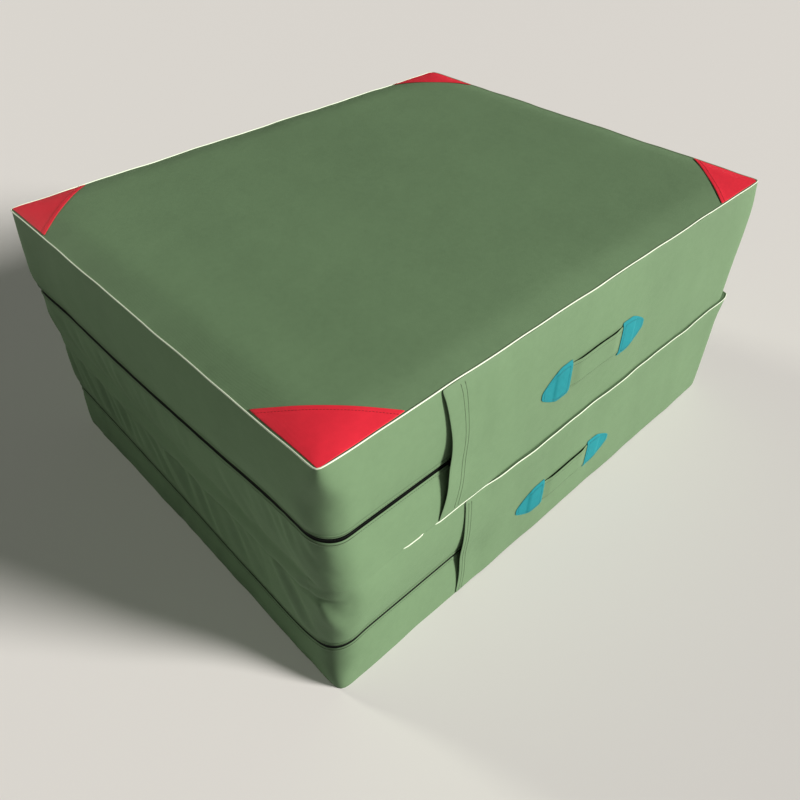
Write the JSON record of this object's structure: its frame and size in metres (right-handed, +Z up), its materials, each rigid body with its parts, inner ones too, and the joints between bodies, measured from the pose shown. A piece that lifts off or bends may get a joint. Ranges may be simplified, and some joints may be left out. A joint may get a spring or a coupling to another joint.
{
  "type": "crash landing mat",
  "caption": "Folding crash landing mat, folded shut: thick foam halves in zipped canvas covers with piped edges, a fabric hinge along one edge and side carrying handles.",
  "frame": {"origin": "on the floor, under the middle of the upper half", "axes": "+X from the hinge edge to the open edge, +Y from the front long side to the back one, +Z up"},
  "size_m": [1.544, 1.241, 0.72],
  "materials": {
    "canvas": "coated army green canvas, satin",
    "red_canvas": "coated red canvas, satin",
    "teal_canvas": "teal canvas, matte",
    "piping": "off-white vinyl piping, satin",
    "zipper": "black nylon coil on woven tape",
    "zipper_metal": "black lacquered die casting",
    "soft_foam": "open-cell polyurethane foam, matte",
    "firm_foam": "closed-cell polyethylene foam, matte"
  },
  "bodies": {
    "lower_half": {"lower_foam_core": "soft_foam", "lower_firm_foam_sheet": "firm_foam", "lower_base_panel": "canvas", "lower_inner_panel": "canvas", "lower_front_wall": "canvas", "lower_back_wall": "canvas", "lower_end_wall": "canvas", "lower_zip_wall_below": "canvas", "lower_zip_wall_above": "canvas", "lower_front_handle": "canvas", "lower_back_handle": "canvas", "lower_zipper": "zipper", "lower_front_handle_patch_left": "teal_canvas", "lower_front_handle_patch_right": "teal_canvas", "lower_back_handle_patch_left": "teal_canvas", "lower_back_handle_patch_right": "teal_canvas", "lower_lip_piping": "piping", "fold_hinge_strip": "canvas"},
    "lower_slider": {"lower_zip_slider": "zipper_metal"},
    "lower_pull": {"lower_zip_pull": "zipper_metal"},
    "upper_half": {"upper_foam_core": "soft_foam", "upper_firm_foam_sheet": "firm_foam", "upper_top_panel": "canvas", "upper_inner_panel": "canvas", "upper_front_wall": "canvas", "upper_back_wall": "canvas", "upper_end_wall": "canvas", "upper_zip_wall_below": "canvas", "upper_zip_wall_above": "canvas", "upper_front_handle": "canvas", "upper_back_handle": "canvas", "upper_zipper": "zipper", "upper_front_handle_patch_left": "teal_canvas", "upper_front_handle_patch_right": "teal_canvas", "upper_back_handle_patch_left": "teal_canvas", "upper_back_handle_patch_right": "teal_canvas", "upper_top_piping": "piping", "corner_patch_front_hinge": "red_canvas", "corner_patch_front_open": "red_canvas", "corner_patch_back_open": "red_canvas", "corner_patch_back_hinge": "red_canvas"},
    "upper_slider": {"upper_zip_slider": "zipper_metal"},
    "upper_pull": {"upper_zip_pull": "zipper_metal"}
  },
  "joints": [
    {"name": "fold", "type": "hinge", "parent": "lower_half", "child": "upper_half", "pos_m": [-0.76, 0, 0.36], "axis": [0, -1, 0], "range_deg": [0, 180], "deforming": ["fold_hinge_strip"]},
    {"name": "lower_zip", "type": "slide", "parent": "lower_half", "child": "lower_slider", "axis": [-1, 0, 0], "range_m": [0, 0.31]},
    {"name": "lower_pull_swing", "type": "hinge", "parent": "lower_slider", "child": "lower_pull", "pos_m": [-0.349, -0.6077, 0.15], "axis": [0, -1, 0], "range_deg": [-75, 75]},
    {"name": "upper_zip", "type": "slide", "parent": "upper_half", "child": "upper_slider", "axis": [-1, 0, 0], "range_m": [0, 0.233]},
    {"name": "upper_pull_swing", "type": "hinge", "parent": "upper_slider", "child": "upper_pull", "pos_m": [-0.426, -0.6077, 0.5033], "axis": [0, -1, 0], "range_deg": [-75, 75]}
  ]
}
